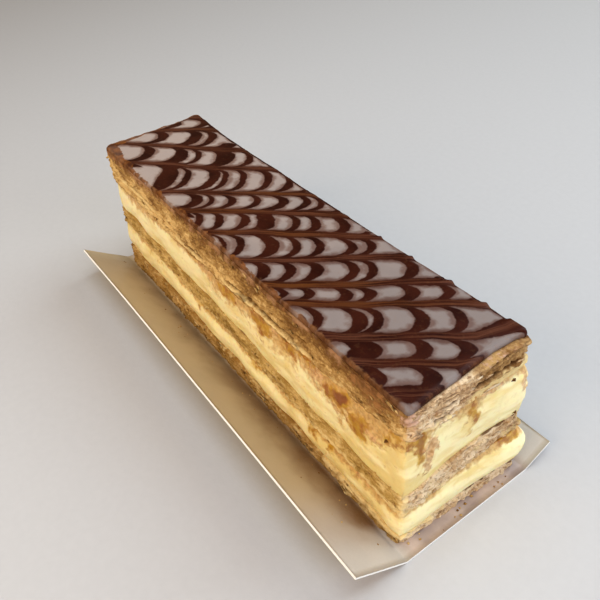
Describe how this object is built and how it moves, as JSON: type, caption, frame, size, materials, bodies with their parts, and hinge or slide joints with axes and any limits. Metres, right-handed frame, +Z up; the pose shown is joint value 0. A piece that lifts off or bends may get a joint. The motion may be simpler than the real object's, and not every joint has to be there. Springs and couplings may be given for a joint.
{
  "type": "mille feuille slice",
  "caption": "Bar-shaped mille feuille slice of flaky puff pastry and custard, with a feathered icing on top, lying on its folded card slip.",
  "frame": {"origin": "middle of the card slip's footprint, on the surface that it stands on", "axes": "+X runs along the slice from its far end to its near end, +Y across it from the tall flap's side, +Z up"},
  "size_m": [0.1366, 0.0566, 0.0412],
  "materials": {
    "card": "satin coated card",
    "pastry": "dry baked flakes",
    "custard": "moist and smooth",
    "icing": "set glossy icing"
  },
  "bodies": {
    "root": {"card_slip": "card", "pastry_bottom": "pastry", "custard_lower": "custard", "pastry_middle": "pastry", "custard_upper": "custard", "pastry_top": "pastry", "icing": "icing"}
  },
  "joints": []
}
